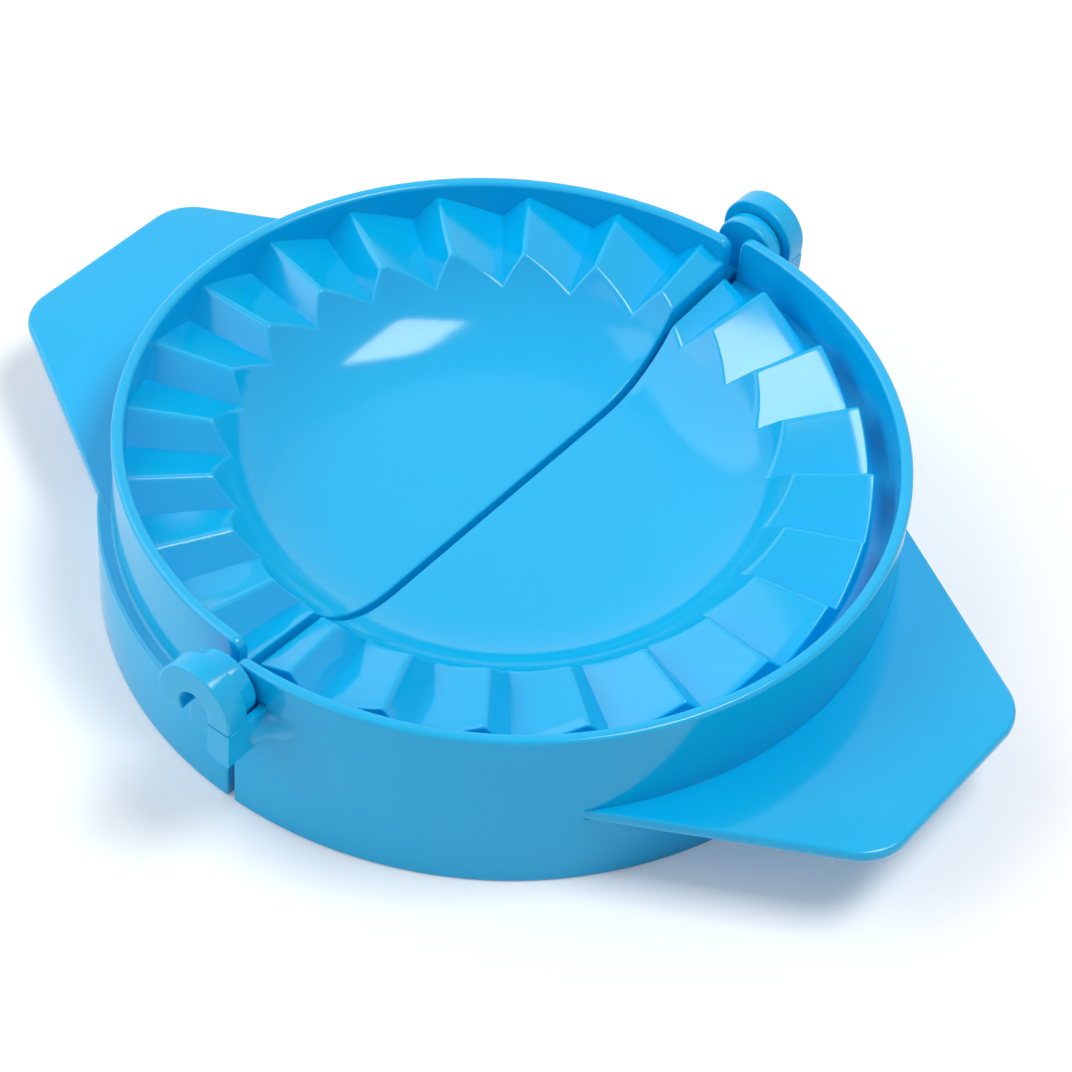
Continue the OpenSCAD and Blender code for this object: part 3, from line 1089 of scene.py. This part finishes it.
@dataclass(frozen=True)
class Softbox:
    """A rectangular soft lamp, placed by the direction that it shines from."""

    name: str
    azimuth: float
    elevation: float
    distance: float
    width: float
    height: float
    power: float

    def build(self, aim: Vector) -> bpy.types.Object:
        """Makes the lamp.

        Args:
            aim: the point that it faces, in metres.

        Returns:
            The lamp.
        """
        a, e = math.radians(self.azimuth), math.radians(self.elevation)
        towards = Vector((math.cos(a) * math.cos(e), math.sin(a) * math.cos(e), math.sin(e)))
        data = bpy.data.lights.new(self.name, "AREA")
        data.shape = "RECTANGLE"
        data.size = self.width
        data.size_y = self.height
        data.energy = self.power
        lamp = bpy.data.objects.new(self.name, data)
        lamp.location = aim + towards * self.distance
        lamp.rotation_mode = "QUATERNION"
        lamp.rotation_quaternion = towards.to_track_quat("Z", "Y")
        bpy.context.scene.collection.objects.link(lamp)
        return lamp


@dataclass(frozen=True)
class Studio:
    """White floor, even white surroundings and soft lamps. Sizes and distances are in metres."""

    lamps: tuple[Softbox, ...] = field(default_factory=lambda: (
        Softbox("top_softbox", 30, 67, 0.9, 0.40, 0.31, 4.7),
        Softbox("left_softbox", 207, 42, 1.0, 1.05, 0.9, 5.2),
        Softbox("back_softbox", 135, 30, 1.5, 2.4, 1.6, 3.0),
        Softbox("front_fill", 248, 22, 1.5, 1.4, 0.9, 4.0),
    ))
    surround: float = 0.24
    floor_hex: str = "#F2F3F4"
    floor_lift: tuple[float, float] = (0.14, 0.95)
    lift_reach: tuple[float, float] = (0.2, 1.1)
    floor_size: float = 6.0

    def seen(self, tree: bpy.types.NodeTree) -> bpy.types.NodeSocket:
        """One for rays from the camera and for those that it gets by reflection or through a surface."""
        path = add_node(tree, "ShaderNodeLightPath")
        mirrored = add_node(tree, "ShaderNodeMath", {"operation": "MAXIMUM"})
        tree.links.new(path.outputs["Is Camera Ray"], mirrored.inputs[0])
        tree.links.new(path.outputs["Is Glossy Ray"], mirrored.inputs[1])
        through = add_node(tree, "ShaderNodeMath", {"operation": "MAXIMUM"})
        tree.links.new(mirrored.outputs["Value"], through.inputs[0])
        tree.links.new(path.outputs["Is Transmission Ray"], through.inputs[1])
        return through.outputs["Value"]

    def floor_material(self) -> bpy.types.Material:
        """White paper sweep, lifted to white only where it is seen, so that it keeps the press's shadow.

        The lift grows with the distance from the press, as the lamps' light falls off there.
        """
        material = bpy.data.materials.new("white_paper_sweep")
        material.use_nodes = True
        tree = material.node_tree
        tree.nodes.clear()
        paper = add_node(tree, "ShaderNodeBsdfDiffuse", {"Color": linear(self.floor_hex)})
        place = add_node(tree, "ShaderNodeTexCoord")
        away = add_node(tree, "ShaderNodeVectorMath", {"operation": "LENGTH"},
                        {"Vector": place.outputs["Object"]})
        near, far = self.lift_reach
        low, high = self.floor_lift
        lift = add_node(tree, "ShaderNodeMapRange",
                        {"From Min": near, "From Max": far, "To Min": low, "To Max": high},
                        {"Value": away.outputs["Value"]})
        glow = add_node(tree, "ShaderNodeEmission", {"Color": linear(self.floor_hex)},
                        {"Strength": lift.outputs["Result"]})
        lifted = add_node(tree, "ShaderNodeAddShader")
        tree.links.new(paper.outputs["BSDF"], lifted.inputs[0])
        tree.links.new(glow.outputs["Emission"], lifted.inputs[1])
        mixed = add_node(tree, "ShaderNodeMixShader", None, {"Fac": self.seen(tree)})
        tree.links.new(paper.outputs["BSDF"], mixed.inputs[1])
        tree.links.new(lifted.outputs["Shader"], mixed.inputs[2])
        add_node(tree, "ShaderNodeOutputMaterial", None, {"Surface": mixed.outputs["Shader"]})
        return material

    def build(self) -> None:
        """Makes the floor, the surroundings and the lamps, and sets the view transform."""
        half = self.floor_size / 2
        mesh = bpy.data.meshes.new("floor")
        corners = [(-half, -half, 0), (half, -half, 0), (half, half, 0), (-half, half, 0)]
        mesh.from_pydata(corners, [], [(0, 1, 2, 3)])
        mesh.materials.append(self.floor_material())
        floor = bpy.data.objects.new("floor", mesh)
        bpy.context.scene.collection.objects.link(floor)
        world = bpy.data.worlds.new("studio")
        world.use_nodes = True
        sky = world.node_tree.nodes["Background"].inputs
        sky["Color"].default_value = (1.0, 1.0, 1.0, 1.0)
        level = add_node(world.node_tree, "ShaderNodeMapRange", {"To Min": self.surround, "To Max": 1.0},
                         {"Value": self.seen(world.node_tree)})
        world.node_tree.links.new(level.outputs["Result"], sky["Strength"])
        bpy.context.scene.world = world
        bpy.context.scene.view_settings.view_transform = "Standard"
        for lamp in self.lamps:
            lamp.build(Vector((0.0, 0.0, 0.0)))


def main() -> None:
    """Builds the studio, the camera and every piece of the press."""
    logging.basicConfig(level=logging.INFO, format="%(message)s")
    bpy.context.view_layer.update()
    sizes = PressSizes.from_frame()
    Studio().build()
    PhotoCamera().build()
    plastics = {side: PolypropyleneFinish(f"polypropylene_moulded_glossy_{side.name.lower()}").build()
                for side in Side}
    pieces = HalfPress(sizes, Side.INNER).pieces() + HalfPress(sizes, Side.OUTER).pieces()
    for end in End:
        pieces += Hinge(sizes, end).pieces()
    for piece in pieces:
        piece.build(plastics[piece.side])


if __name__ == "__main__":
    main()
